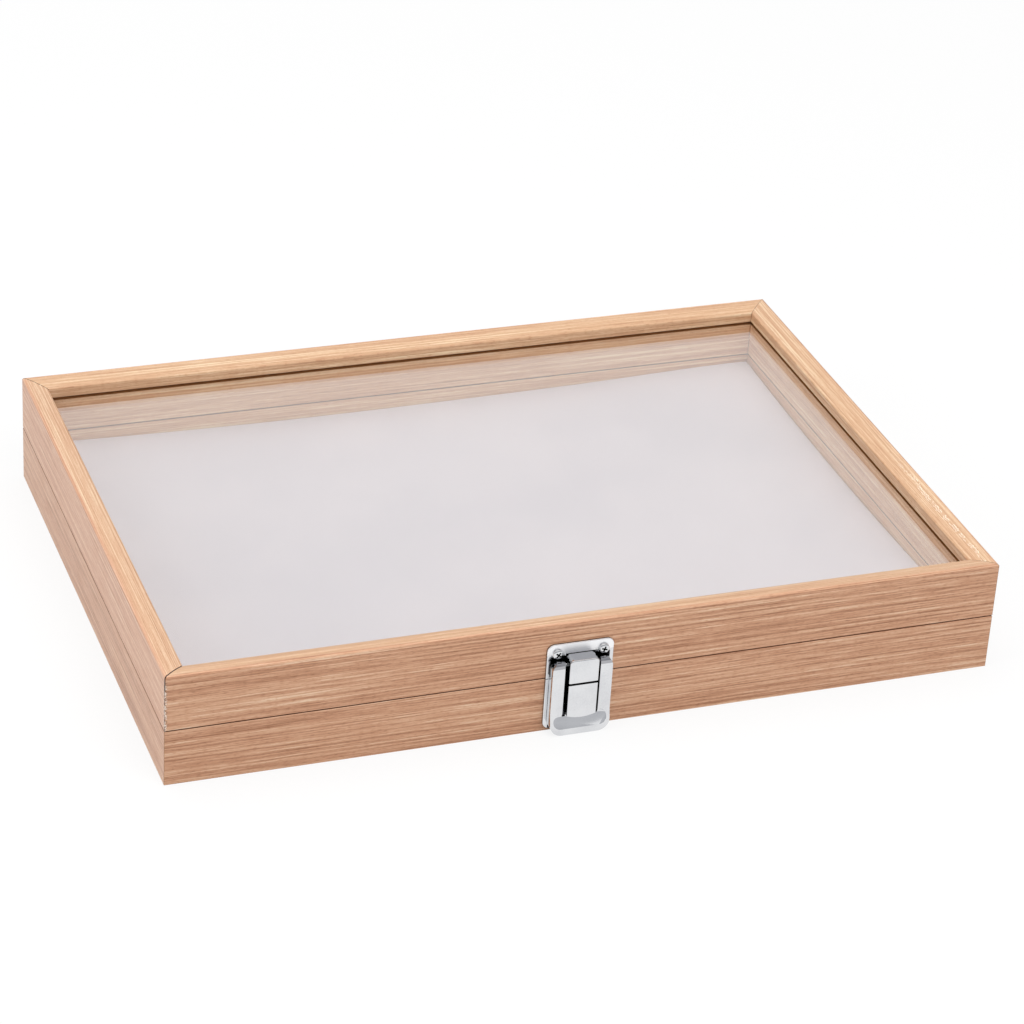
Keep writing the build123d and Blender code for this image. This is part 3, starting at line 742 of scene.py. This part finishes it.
@dataclass
class PinPad(SubAssembly):
    """Soft pad: foam under flocked cloth, a little uneven where it was pressed into the tray."""

    wall_clearance: float = 0.1 * MM
    shoulder: float = 1.6 * MM          # rounded edge of the cloth
    crown: float = 0.5 * MM             # how much the middle stands above the edges
    sunk: float = 0.5 * MM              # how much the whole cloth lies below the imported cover
    back_drop: float = 0.8 * MM         # how low the middle of the back edge lies
    back_slope: float = 0.0065          # rise of the back edge from left to right
    back_rise: float = 0.108            # its rise towards both ends, per metre
    side_lift: float = 0.1 * MM         # how high the lowest place of the right edge lies
    side_low: float = 12 * MM           # Y of that place
    side_rise: float = 0.216            # rise of the right edge from there, per metre
    ripple: float = 0.12 * MM           # height of the cloth's long waves
    columns: int = 180
    rows: int = 128

    def build(self) -> None:
        """Makes the pad as one closed form."""
        low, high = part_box("pad_cover")
        inner_low, inner_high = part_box("base_front_rail"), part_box("base_left_rail")
        self.half_x = -inner_high[1].x - self.wall_clearance
        self.half_y = -inner_low[1].y - self.wall_clearance
        self.bottom, self.top = low.z, high.z
        self.piece = self.closed_form()
        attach(self.piece, "base")
        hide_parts("foam_pad", "pad_cover")
        LOG.info("made %s", self.piece.name)

    def surface_height(self, x: np.ndarray, y: np.ndarray) -> np.ndarray:
        """Height of the cloth.

        Args:
            x: Places along the front.
            y: Places towards the back.

        Returns:
            Heights above the table.
        """
        crown = self.crown * (1 - (x / self.half_x) ** 2) * (1 - (y / self.half_y) ** 2)
        near_back = np.clip((y / self.half_y - 0.2) / 0.8, 0, 1) ** 2
        near_right = np.clip((x / self.half_x - 0.5) / 0.5, 0, 1) ** 2
        back_edge = self.back_slope * x + self.back_rise * x ** 2 - self.back_drop
        right_edge = self.side_lift + self.side_rise * (y - self.side_low) ** 2
        waves = self.ripple * (np.sin(31 * x + 9 * y) + np.sin(23 * y - 14 * x + 1.3))
        edges = back_edge * near_back * (1 - near_right) + right_edge * near_right
        return self.top + crown + edges + waves - self.sunk

    def closed_form(self) -> bpy.types.Object:
        """The pad's mesh: a crowned top that rolls over into its sides, and a flat underside.

        Returns:
            The pad's object.
        """
        u = np.linspace(-1, 1, self.columns)
        v = np.linspace(-1, 1, self.rows)
        inset_x, inset_y = self.half_x - self.shoulder, self.half_y - self.shoulder
        grid_x, grid_y = np.meshgrid(u * inset_x, v * inset_y)
        mesh = bmesh.new()
        top = [[mesh.verts.new((x, y, z)) for x, y, z in zip(*row)]
               for row in zip(grid_x, grid_y, self.surface_height(grid_x, grid_y))]
        for lower, upper in zip(top, top[1:]):
            for a, b, c, d in zip(lower, lower[1:], upper[1:], upper):
                mesh.faces.new((a, b, c, d))
        rim = (top[0][:-1] + [row[-1] for row in top[:-1]] + top[-1][:0:-1]
               + [row[0] for row in top[:0:-1]])
        rings = [rim]
        for step in range(1, 6):
            turn = math.radians(90 * step / 5)
            rings.append([self.rolled(mesh, vert, turn) for vert in rim])
        rings.append([mesh.verts.new((*vert.co.xy, self.bottom)) for vert in rings[-1]])
        for inner, outer in zip(rings, rings[1:]):
            for index in range(len(inner)):
                after = (index + 1) % len(inner)
                mesh.faces.new((inner[index], outer[index], outer[after], inner[after]))
        mesh.faces.new(list(reversed(rings[-1])))
        bmesh.ops.recalc_face_normals(mesh, faces=mesh.faces)
        for face in mesh.faces:
            face.smooth = True
        return finished_piece("pin_pad", mesh)

    def rolled(self, mesh: bmesh.types.BMesh, vert: bmesh.types.BMVert,
               turn: float) -> bmesh.types.BMVert:
        """A rim vertex moved out and down round the pad's shoulder by an angle.

        Args:
            mesh: The pad's mesh.
            vert: The rim vertex to start from.
            turn: Angle round the shoulder, in radians.

        Returns:
            The new vertex.
        """
        inset_x, inset_y = self.half_x - self.shoulder, self.half_y - self.shoulder
        out = Vector((math.copysign(1, vert.co.x) if abs(vert.co.x) > inset_x - 1e-6 else 0,
                      math.copysign(1, vert.co.y) if abs(vert.co.y) > inset_y - 1e-6 else 0, 0))
        if out.length > 0:
            out.normalize()
        drop = Vector((0, 0, -(1 - math.cos(turn)) * self.shoulder))
        return mesh.verts.new(vert.co + out * math.sin(turn) * self.shoulder + drop)

    def dress(self) -> None:
        """Puts the cloth on the pad."""
        self.piece.data.materials.append(FlockedCloth().material())


def finished_piece(name: str, mesh: bmesh.types.BMesh) -> bpy.types.Object:
    """Object at the origin from a mesh whose place is in its vertices.

    Args:
        name: The piece's name.
        mesh: Its shape, in place.

    Returns:
        The new object.
    """
    data = bpy.data.meshes.new(name)
    mesh.to_mesh(data)
    mesh.free()
    piece = bpy.data.objects.new(name, data)
    bpy.context.scene.collection.objects.link(piece)
    return piece


class Tray(SubAssembly):
    """Bottom board and the card under the pad."""

    def dress(self) -> None:
        """Gives the boards their fibres."""
        dress_node("bottom_panel", HARDBOARD)
        dress_node("pad_board", GREY_CARD)


class Glazing(SubAssembly):
    """The lid's pane."""

    def dress(self) -> None:
        """Makes the pane clear."""
        dress_node("lid_glass", ClearPane())


def stamped_copy(node: str, body: str, finish: Finish,
                 edge_radius: float = 0.0) -> bpy.types.Object:
    """Makes a clean, smoothly shaded copy of a packed stamping and lets it stand for the node.

    Args:
        node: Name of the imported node.
        body: Body that the copy rides on.
        finish: The copy's finish.
        edge_radius: Radius that the press gives to its sharp edges.

    Returns:
        The copy.
    """
    mesh = bmesh.new()
    mesh.from_mesh(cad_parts[node].data)
    bmesh.ops.remove_doubles(mesh, verts=mesh.verts, dist=0.002 * MM)
    bmesh.ops.dissolve_limit(mesh, angle_limit=math.radians(0.6), verts=mesh.verts,
                             edges=mesh.edges, use_dissolve_boundaries=False)
    piece = finished_piece(f"{node}_stamping", mesh)
    if edge_radius > 0:
        rounding = piece.modifiers.new("pressed_edges", "BEVEL")
        rounding.limit_method = "ANGLE"
        rounding.angle_limit = math.radians(32)
        rounding.width = edge_radius
        rounding.segments = 3
        apply_modifiers(piece)
    piece.data.shade_smooth()
    piece.data.set_sharp_from_angle(angle=math.radians(38))
    piece.data.materials.append(finish.material())
    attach(piece, body)
    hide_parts(node)
    LOG.info("made %s", piece.name)
    return piece


def apply_modifiers(piece: bpy.types.Object) -> None:
    """Turns a piece's evaluated shape into its plain mesh and removes its modifiers.

    Args:
        piece: The piece with its modifiers.
    """
    bpy.context.view_layer.update()
    shaped = piece.evaluated_get(bpy.context.evaluated_depsgraph_get())
    data = bpy.data.meshes.new_from_object(shaped)
    piece.modifiers.clear()
    piece.data = data


@dataclass(frozen=True)
class ScrewKind:
    """Sizes of one kind of cross-head wood screw."""

    name: str
    head_radius: float
    head_height: float          # dome above the seat; 0 for a countersunk head
    sink: float                 # cone below the seat; 0 for a pan head
    root_radius: float = 1.0 * MM
    length: float = 5.0 * MM
    tip: float = 1.2 * MM
    cross_span: float = 2.7 * MM
    cross_width: float = 0.75 * MM
    cross_depth: float = 0.8 * MM


PAN_SCREW = ScrewKind("pan_screw", 2.3 * MM, 1.3 * MM, 0.0)
FLUSH_SCREW = ScrewKind("flush_screw", 1.88 * MM, 0.0, 0.9 * MM)


class ScrewTree:
    """Geometry Nodes tree that sets a cross-head screw on every vertex of a mesh."""

    SIZES = ("Head Radius", "Head Height", "Sink", "Root Radius", "Length", "Tip", "Cross Span",
             "Cross Width", "Cross Depth")

    def __init__(self) -> None:
        """Builds the tree with its named inputs."""
        self.tree = bpy.data.node_groups.new("cross_head_screws", "GeometryNodeTree")
        face = self.tree.interface
        kinds = (("Geometry", "Geometry"), *((name, "Float") for name in self.SIZES),
                 ("Facing", "Rotation"), ("Seed", "Int"), ("Plating", "Material"),
                 ("Recess", "Material"))
        for name, kind in kinds:
            face.new_socket(name, in_out="INPUT", socket_type=f"NodeSocket{kind}")
        face.new_socket("Geometry", in_out="OUTPUT", socket_type="NodeSocketGeometry")
        self.bench = NodeBench(self.tree)
        self.given = self.bench.node("NodeGroupInput").outputs
        self.lay_out()

    def lay_out(self) -> None:
        """Lays out the screw, its places, its turn and its plating."""
        bench, given = self.bench, self.given
        head = bench.node("GeometryNodeSetMaterial",
                          {"Geometry": self.head(), "Material": given["Plating"]}).outputs[0]
        for bar in self.cross():
            cutter = bench.node("GeometryNodeSetMaterial",
                                {"Geometry": bar, "Material": given["Recess"]}).outputs[0]
            head = bench.node("GeometryNodeMeshBoolean", {"Mesh 1": head, "Mesh 2": cutter},
                              operation="DIFFERENCE").outputs["Mesh"]
        screw = bench.node("GeometryNodeJoinGeometry")
        for part in (self.tip(), self.shank(), head):
            bench.feed(screw.inputs[0], part)
        placed = bench.node("GeometryNodeInstanceOnPoints",
                            {"Points": given["Geometry"], "Instance": screw.outputs[0],
                             "Rotation": given["Facing"]})
        index = bench.node("GeometryNodeInputIndex").outputs[0]
        spin = bench.node("FunctionNodeRandomValue",
                          {"Min": 0.0, "Max": math.tau, "ID": index, "Seed": given["Seed"]},
                          data_type="FLOAT")
        value = next(s for s in spin.outputs if s.enabled)
        for socket in spin.inputs:
            if socket.enabled and socket.name == "Max":
                socket.default_value = math.tau
        turn = bench.point(0.0, 0.0, value)
        turned = bench.node("GeometryNodeRotateInstances",
                            {"Instances": placed.outputs[0], "Rotation": turn,
                             "Local Space": True})
        solid = bench.node("GeometryNodeRealizeInstances", {"Geometry": turned.outputs[0]})
        recess = bench.node("GeometryNodeMaterialSelection", {"Material": given["Recess"]})
        plain = bench.node("FunctionNodeBooleanMath", {0: recess.outputs[0]}, operation="NOT")
        plated = bench.node("GeometryNodeSetMaterial",
                            {"Geometry": solid.outputs[0], "Selection": plain.outputs[0],
                             "Material": given["Plating"]})
        bench.node("NodeGroupOutput", {"Geometry": plated.outputs[0]})

    def head(self) -> Socket:
        """Ball pressed into a low dome above the seat and a cone below it.

        Returns:
            The head's geometry.
        """
        bench, given = self.bench, self.given
        ball = bench.node("GeometryNodeMeshUVSphere",
                          {"Segments": 56, "Rings": 28, "Radius": 1.0}).outputs["Mesh"]
        place = bench.node("GeometryNodeInputPosition").outputs[0]
        x, y, z = bench.split(place)
        flat = bench.point(x, y, 0.0)
        radius = bench.node("ShaderNodeVectorMath", {0: flat},
                            operation="LENGTH").outputs["Value"]
        radius = bench.smaller(radius, 1.0)
        dome = bench.minus(1.0, bench.maths("POWER", radius, 5.0))
        dome = bench.maths("POWER", dome, 0.42)
        above = bench.times(dome, given["Head Height"])
        sinking = bench.times(bench.minus(1.0, radius),
                              given["Head Radius"])
        below = bench.times(bench.smaller(sinking, given["Sink"]), -1.0)
        upper = bench.above(z, 0.0)
        height = bench.plus(bench.times(above, upper),
                             bench.times(below, bench.minus(1.0, upper)))
        wide = bench.point(bench.times(x, given["Head Radius"]),
                           bench.times(y, given["Head Radius"]), height)
        return bench.moved(ball, {"Position": wide})

    def cross(self) -> list[Socket]:
        """Two tapering bars that cut the cross recess, one after the other.

        Returns:
            The geometry of the two bars.
        """
        bench, given = self.bench, self.given
        rise = bench.plus(given["Head Height"], 0.1 * MM)
        depth = bench.plus(given["Cross Depth"], 0.1 * MM)
        bars = []
        for long_way in (True, False):
            sizes = [given["Cross Span"], given["Cross Width"]]
            size = bench.point(*(sizes if long_way else reversed(sizes)), depth)
            bar = bench.node("GeometryNodeMeshCube", {"Size": size}).outputs["Mesh"]
            place = bench.node("GeometryNodeInputPosition").outputs[0]
            x, y, z = bench.split(place)
            low = bench.below(z, 0.0)
            taper = bench.times_plus(low, -0.55, 1.0)
            shaped = bench.point(bench.times(x, taper),
                                 bench.times(y, taper),
                                 bench.plus(z, bench.times_plus(depth, -0.5, rise)))
            bars.append(bench.moved(bar, {"Position": shaped}))
        return bars

    def shank(self) -> Socket:
        """Straight root of the screw.

        Returns:
            The shank's geometry.
        """
        bench, given = self.bench, self.given
        straight = bench.minus(given["Length"], given["Tip"])
        rod = bench.node("GeometryNodeMeshCylinder",
                         {"Vertices": 28, "Radius": given["Root Radius"], "Depth": straight})
        down = bench.point(0.0, 0.0, bench.times(straight, -0.5))
        return bench.moved(rod.outputs["Mesh"], {"Offset": down})

    def tip(self) -> Socket:
        """Pointed end of the screw.

        Returns:
            The tip's geometry.
        """
        bench, given = self.bench, self.given
        point = bench.node("GeometryNodeMeshCone",
                           {"Vertices": 28, "Radius Top": 0.15 * MM,
                            "Radius Bottom": given["Root Radius"], "Depth": given["Tip"]})
        turned = bench.node("GeometryNodeTransform",
                            {"Geometry": point.outputs["Mesh"],
                             "Rotation": (math.pi, 0.0, 0.0)}).outputs[0]
        straight = bench.minus(given["Length"], given["Tip"])
        down = bench.point(0.0, 0.0, bench.times(straight, -1.0))
        return bench.moved(turned, {"Offset": down})

    def drive(self, node: str, body: str, slot: str, places: list[tuple[float, ...]],
              facing: float, kind: ScrewKind, finish: Finish, seed: int) -> bpy.types.Object:
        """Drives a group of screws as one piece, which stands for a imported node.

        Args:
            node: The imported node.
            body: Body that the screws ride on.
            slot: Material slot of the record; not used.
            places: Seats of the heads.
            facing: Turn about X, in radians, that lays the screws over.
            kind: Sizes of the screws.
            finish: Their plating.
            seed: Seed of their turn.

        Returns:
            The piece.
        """
        mesh = bmesh.new()
        for place in places:
            mesh.verts.new(place)
        piece = finished_piece(node.replace("screws", "cross_screws"), mesh)
        values = {size: getattr(kind, size.lower().replace(" ", "_")) for size in self.SIZES}
        values.update({"Facing": (facing, 0.0, 0.0), "Seed": seed,
                       "Plating": finish.material(), "Recess": RECESS.material()})
        setting = piece.modifiers.new("screws", "NODES")
        setting.node_group = self.tree
        for socket in self.tree.interface.items_tree:
            if socket.name in values and socket.in_out == "INPUT":
                setting[socket.identifier] = values[socket.name]
        apply_modifiers(piece)
        piece.data.shade_smooth()
        piece.data.set_sharp_from_angle(angle=math.radians(40))
        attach(piece, body)
        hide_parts(node)
        LOG.info("drove %d screws of %s, %d faces", len(places), piece.name,
                 len(piece.data.polygons))
        return piece


@dataclass
class Hinges(SubAssembly):
    """Two butt hinges on the back."""

    screws: ScrewTree
    screw_spacing: float = 16.0 * MM

    def build(self) -> None:
        """Copies the leaves and pins, and drives their countersunk screws."""
        for hand in ("left", "right"):
            for piece, body in (("base_leaf", "base"), ("lid_leaf", "lid"), ("pin", "base")):
                stamped_copy(f"{hand}_hinge_{piece}", body, NICKEL)
        for body, seed in (("base", 5), ("lid", 9)):
            node = f"hinge_{body}_screws"
            low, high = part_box(node)
            outer = high.x - 1.9 * MM
            seat, height = high.y, (low.z + high.z) / 2
            places = [(side * x, seat, height) for side in (-1, 1)
                      for x in (outer - self.screw_spacing, outer)]
            self.screws.drive(node, body, "hinge_plating", places, -math.pi / 2, FLUSH_SCREW,
                              NICKEL, seed)


# Places on the latch in millimetres, from its middle and before the wood.
SLOT = (6.04, 7.46, 6.15)
# Places painted dark: painted shade and dark reflection in the slots, behind the flap, at the
# housing's foot and along the sheets' backs.
LID_PLATE_PAINTED_SHADE = ((*SLOT, 24.4, 34.6),              # walls of the slots beside the housing
                  (0, 12.4, 1.1, 24.4, 34.4),       # plate behind the flap
                  (0, 6.2, 1.1, 34.4, 35.4),        # foot of the housing's roof
                  (0, 20, 0.5, 24.4, 41))           # back, against the wood
LID_PLATE_SATIN = ((0, 20, 1.1, 35.4, 41),)         # plate above the housing
KEEPER_PAINTED_SHADE = ((0, 12.1, 1.1, 0, 25),               # plate behind the flap
               (0, 20, 0.5, 0, 25))                 # back, against the wood
FLAP_PAINTED_SHADE = ((*SLOT, 8.35, 34),                     # walls of the slots beside the tongue
             (0, 11.45, 4.0, 0.4, 29.2),            # back
             (0, 6.12, 6.05, 10.2, 24.7),           # back of the tongue
             (7.3, 12.7, 2.6, 26, 34))              # backs of the arms
# Places painted grey on the flap's sloping heels: a painted reflection.
FLAP_HEELS = ((7.3, 12.7, 9.0, 30.75, 34),)


@dataclass
class SnapLatch(SubAssembly):
    """The snap hasp on the front: two plates, the flap on its pin, and four pan-head screws."""

    screws: ScrewTree
    pan_head: float = 1.3 * MM
    flap_edge: float = 0.36 * MM

    def chrome(self, name: str, painted_dark: Places, shade: Any = srgb(20, 20, 22),
               rolled: Places = (), satin: Places = ()) -> Plating:
        """Bright chrome with painted shade by place, where other pieces cover it, in slots and on
        backs.

        Args:
            name: Name of the finish.
            painted_dark: Places painted dark as painted shade, in millimetres, with the distance
                before the wood for Y.
            shade: Colour painted there.
            rolled: Places painted greyer as a painted reflection, given the same way.
            satin: Duller places, given the same way.

        Returns:
            The finish.
        """
        dark, grey, dull = (
            tuple((near * MM, far * MM, self.wood - out * MM, low * MM, high * MM)
                  for near, far, out, low, high in boxes)
            for boxes in (painted_dark, rolled, satin))
        return replace(CHROME, name=name, middle=self.middle, painted_dark=dark, shade=shade,
                       rolled=grey, satin=dull)

    def build(self) -> None:
        """Copies the stampings with their rounded edges and drives the screws."""
        low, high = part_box("latch_top_plate")
        self.middle, self.wood = (low.x + high.x) / 2, high.y
        stamped_copy("latch_top_plate", "lid", self.chrome(
            "chrome_lid_plate", LID_PLATE_PAINTED_SHADE, satin=LID_PLATE_SATIN))
        # The keeper plate behind the flap is painted dark grey: painted shade.
        stamped_copy("latch_keeper_plate", "base", self.chrome(
            "chrome_keeper_plate", KEEPER_PAINTED_SHADE, srgb(64, 64, 68)))
        stamped_copy("latch_pin", "lid", CHROME)
        stamped_copy("latch_flap", "latch_flap", self.chrome(
            "chrome_flap", FLAP_PAINTED_SHADE, rolled=FLAP_HEELS), self.flap_edge)
        for node, body, seed in (("latch_top_screws", "lid", 3),
                                 ("latch_keeper_screws", "base", 4)):
            low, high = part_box(node)
            radius = (high.z - low.z) / 2
            places = [(x, low.y + self.pan_head, (low.z + high.z) / 2)
                      for x in (low.x + radius, high.x - radius)]
            self.screws.drive(node, body, "latch_chrome", places, math.pi / 2, PAN_SCREW,
                              CHROME, seed)


@dataclass(frozen=True)
class SoftBox:
    """A rectangular lamp aimed at a point."""

    name: str
    place: tuple[float, float, float]
    aim: tuple[float, float, float]
    size: tuple[float, float]
    power: float

    def light(self) -> None:
        """Hangs the lamp in the studio."""
        data = bpy.data.lights.new(self.name, "AREA")
        data.shape = "RECTANGLE"
        data.size, data.size_y = self.size
        data.energy = self.power
        lamp = bpy.data.objects.new(self.name, data)
        bpy.context.scene.collection.objects.link(lamp)
        lamp.visible_glossy = False
        lamp.location = self.place
        lamp.rotation_euler = (Vector(self.aim) - Vector(self.place)).to_track_quat(
            "-Z", "Y").to_euler()


@dataclass
class Studio(SubAssembly):
    """Plain white floor, an even white surround and soft lamps."""

    floor_half: float = 4.0
    floor_drop: float = 0.05 * MM
    floor_shine: float = 0.85          # share of plain white in the floor as the camera sees it
    ambient: float = 0.62
    lamps: tuple[SoftBox, ...] = (
        SoftBox("top_softbox", (-0.2, 0.35, 1.5), (0, 0, 0), (1.2, 1.2), 7.6),
        SoftBox("left_softbox", (-1.6, -0.2, 0.9), (0, 0, 0), (0.9, 1.2), 8.0),
        SoftBox("front_softbox", (0.25, -1.05, 1.25), (0, 0, 0), (1.0, 1.0), 10.6),
    )

    def build(self) -> None:
        """Makes the floor and hangs the lamps."""
        mesh = bmesh.new()
        bmesh.ops.create_grid(mesh, x_segments=1, y_segments=1, size=self.floor_half)
        bmesh.ops.translate(mesh, verts=mesh.verts, vec=(0, 0, -self.floor_drop))
        self.floor = finished_piece("studio_floor", mesh)
        for lamp in self.lamps:
            lamp.light()

    def dress(self) -> None:
        """Colours the floor, which shows nearly white, and the surround that lights the case."""
        made = bpy.data.materials.new("studio_floor")
        made.use_nodes = True
        bench = NodeBench(made.node_tree)
        place = bench.place()
        speckle = bench.noise(place, 300.0, 2.0, 0.5)
        bounce = bench.blend(speckle, srgb(184, 184, 184), srgb(192, 192, 192))
        paper = bench.blend(speckle, srgb(240, 240, 240), srgb(246, 246, 246))
        paper = bench.blend(self.seen_directly(bench), bounce, paper)
        lit = bench.node("ShaderNodeBsdfDiffuse", {"Color": paper})
        plain = bench.node("ShaderNodeEmission", {"Color": (1, 1, 1, 1), "Strength": 1.0})
        seen = bench.times(self.seen_directly(bench), self.floor_shine)
        mixed = bench.node("ShaderNodeMixShader", {0: seen, 1: lit.outputs[0],
                                                   2: plain.outputs[0]})
        bench.node("ShaderNodeOutputMaterial", {"Surface": mixed.outputs[0]})
        self.floor.data.materials.append(made)

        world = bpy.data.worlds.new("studio_surround")
        world.use_nodes = True
        bpy.context.scene.world = world
        bench = NodeBench(world.node_tree)
        seen = self.seen_directly(bench)
        strength = bench.times_plus(seen, 1.0 - self.ambient, self.ambient)
        mirrored = bench.node("ShaderNodeLightPath").outputs["Is Glossy Ray"]
        dimmed = bench.blend(mirrored, (1, 1, 1, 1), self.room(bench))
        glow = bench.node("ShaderNodeBackground", {"Color": dimmed, "Strength": strength})
        bench.node("ShaderNodeOutputWorld", {"Surface": glow.outputs[0]})

    @staticmethod
    def room(bench: NodeBench) -> Socket:
        """The studio's walls as glossy pieces mirror them: grey low down, and greyer in front.

        Args:
            bench: The nodes it is laid out with.

        Returns:
            The colour that glossy pieces mirror.
        """
        way = bench.node("ShaderNodeTexCoord").outputs["Generated"]
        _, y, z = bench.split(way)
        wall = bench.ramp(z, [(0.0, srgb(196, 197, 200)), (0.25, srgb(196, 197, 200)),
                              (0.36, srgb(255, 255, 255))])
        front = bench.ramp(z, [(0.0, srgb(206, 207, 210)), (0.24, srgb(196, 197, 200)),
                               (0.33, srgb(176, 177, 180)), (0.55, srgb(176, 177, 180)),
                               (0.7, srgb(150, 150, 154)), (0.82, srgb(255, 255, 255))])
        return bench.blend(bench.band(y, -0.1, -0.3), wall, front)

    @staticmethod
    def seen_directly(bench: NodeBench) -> Socket:
        """1 for rays that the camera sends, also by way of a mirror or through glass.

        Args:
            bench: The nodes it is laid out with.

        Returns:
            1 or 0, by the kind of ray.
        """
        rays = bench.node("ShaderNodeLightPath").outputs
        seen = bench.larger(rays["Is Camera Ray"], rays["Is Glossy Ray"])
        return bench.larger(seen, rays["Is Transmission Ray"])


@dataclass(frozen=True)
class PhotoCamera:
    """Camera at the photograph's viewing angle."""

    place: tuple[float, float, float] = (-0.45560, -1.20950, 0.76403)
    aim: tuple[float, float, float] = (0.01060, 0.00481, 0.02349)
    roll_deg: float = 3.651
    lens_mm: float = 123.17
    sensor_mm: float = 36.0

    def stand(self) -> None:
        """Places the camera and makes it the scene's own."""
        data = bpy.data.cameras.new("photo_camera")
        data.lens = self.lens_mm
        data.sensor_width = self.sensor_mm
        data.clip_start, data.clip_end = 0.05, 20.0
        camera = bpy.data.objects.new("photo_camera", data)
        bpy.context.scene.collection.objects.link(camera)
        look = (Vector(self.aim) - Vector(self.place)).to_track_quat("-Z", "Y")
        camera.rotation_mode = "QUATERNION"
        camera.location = self.place
        camera.rotation_quaternion = look @ Quaternion((0, 0, 1), math.radians(self.roll_deg))
        bpy.context.scene.camera = camera
        bpy.context.view_layer.update()
        LOG.info("camera right axis %s", tuple(round(v, 4) for v in camera.matrix_world.col[0]))


def main() -> None:
    """Builds the case, the studio and the camera in order."""
    logging.basicConfig(level=logging.INFO, format="%(message)s")
    bpy.context.scene.view_settings.view_transform = "Standard"
    screws = ScrewTree()
    assemblies: list[SubAssembly] = [
        MouldedFrame("base", {"front_left": 0.08 * MM, "front_right": 0.04 * MM,
                              "back_right": 0.04 * MM, "back_left": 0.06 * MM}, 2.1),
        MouldedFrame("lid", {"front_left": 0.14 * MM, "front_right": 0.04 * MM,
                             "back_right": 0.04 * MM, "back_left": 0.14 * MM}, 7.4),
        Tray(), PinPad(), Glazing(), Hinges(screws), SnapLatch(screws), Studio(),
    ]
    for assembly in assemblies:
        assembly.build()
        assembly.dress()
        LOG.info("finished %s", type(assembly).__name__)
    PhotoCamera().stand()


if __name__ == "__main__":
    main()
